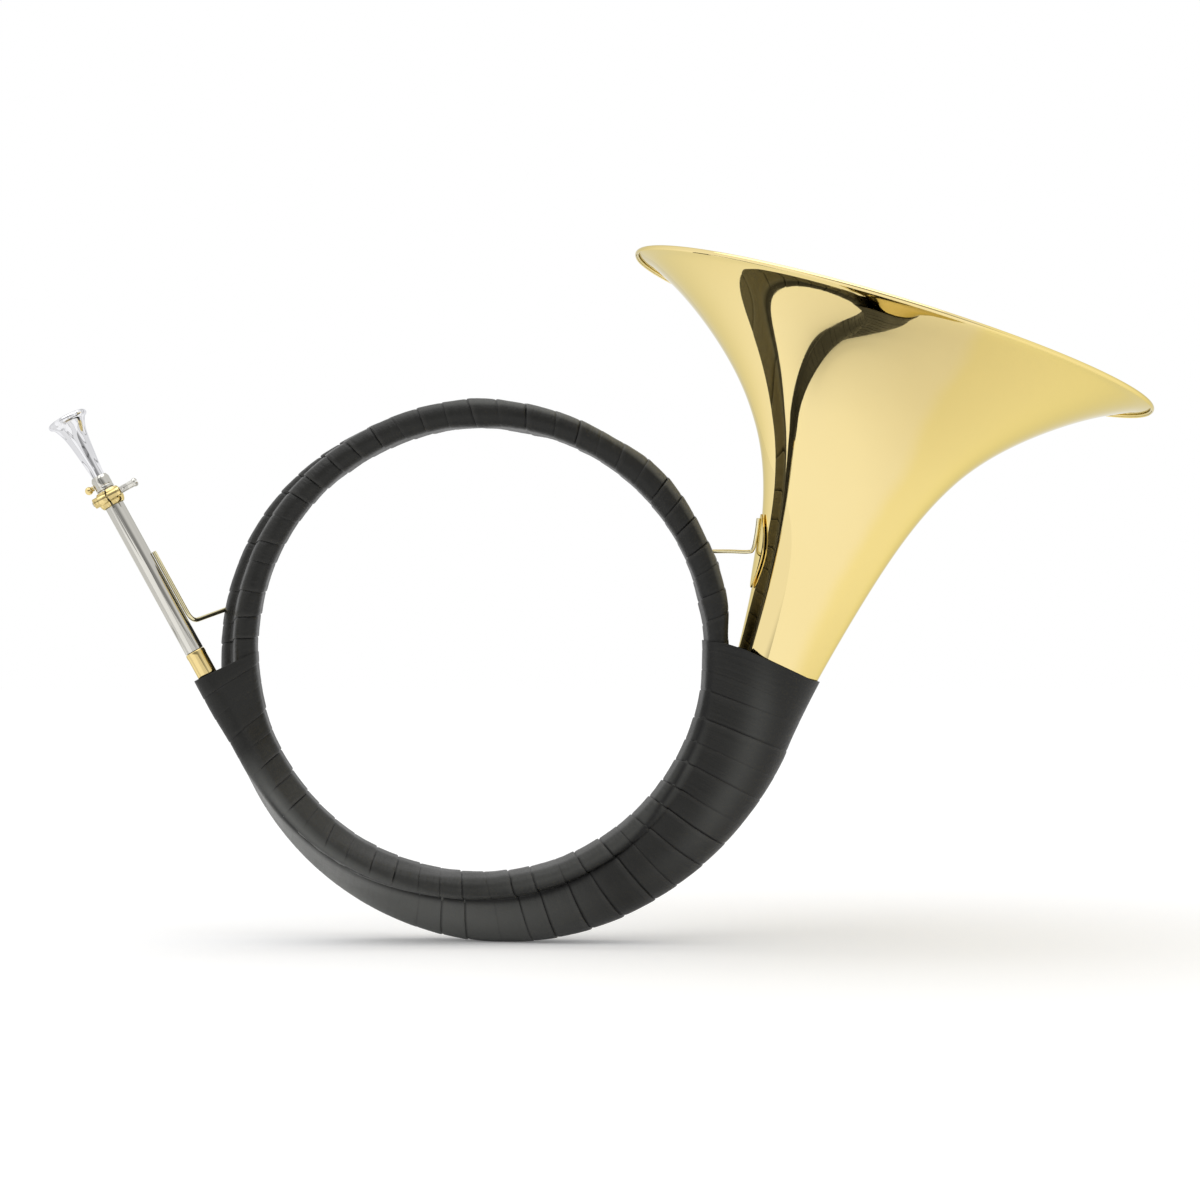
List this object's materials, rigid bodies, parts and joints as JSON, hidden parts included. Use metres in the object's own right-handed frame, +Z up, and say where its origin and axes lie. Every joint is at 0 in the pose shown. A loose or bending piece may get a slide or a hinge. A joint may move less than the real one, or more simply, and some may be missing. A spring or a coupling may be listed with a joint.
{
  "type": "hunting horn",
  "caption": "Hunting horn: brass tube wound into an open coil and wrapped in black leather, with a wide bell, a clamped tuning slide and a silver mouthpiece.",
  "frame": {"origin": "centre of the coil, on its middle plane", "axes": "+X across the coil from the mouthpiece side towards the bell, +Y out of the back of the coil, along its axis, away from the leadpipe, +Z up, towards the bell's rim"},
  "size_m": [0.5465, 0.2692, 0.3453],
  "materials": {
    "brass": "polished and lacquered",
    "yellow_brass": "polished",
    "nickel_silver": "polished",
    "silver_plate": "silver plated, mirror polished",
    "black_leather": "soft sheen, lapped strips"
  },
  "bodies": {
    "horn_body": {"bell": "brass", "rim_wire": "brass", "bell_foot": "brass", "bell_brace": "brass", "bell_branch": "brass", "first_turn": "brass", "second_turn": "brass", "third_turn": "brass", "first_ferrule": "brass", "second_ferrule": "brass", "third_ferrule": "brass", "lower_leather": "black_leather", "upper_leather": "black_leather", "leadpipe_ferrule": "yellow_brass", "outer_sleeve": "nickel_silver", "leadpipe_brace": "brass", "clamp_ring": "yellow_brass"},
    "tuning_slide": {"tuning_tube": "nickel_silver", "mouthpiece_receiver": "nickel_silver", "ball_screw": "yellow_brass"},
    "mouthpiece_body": {"mouthpiece": "silver_plate"},
    "screw_body": {"clamp_screw": "nickel_silver"}
  },
  "joints": [
    {"name": "tuning_slide", "type": "slide", "parent": "horn_body", "child": "tuning_slide", "axis": [-0.4818, 0, 0.8763], "range_m": [0, 0.045]},
    {"name": "mouthpiece_pull", "type": "slide", "parent": "tuning_slide", "child": "mouthpiece_body", "axis": [-0.4818, 0, 0.8763], "range_m": [0, 0.03]},
    {"name": "clamp_screw_turn", "type": "hinge", "parent": "horn_body", "child": "screw_body", "pos_m": [-0.18364, -0.0209, 0.07581], "axis": [0.8763, 0, 0.4818], "range_deg": [0, 270]}
  ]
}
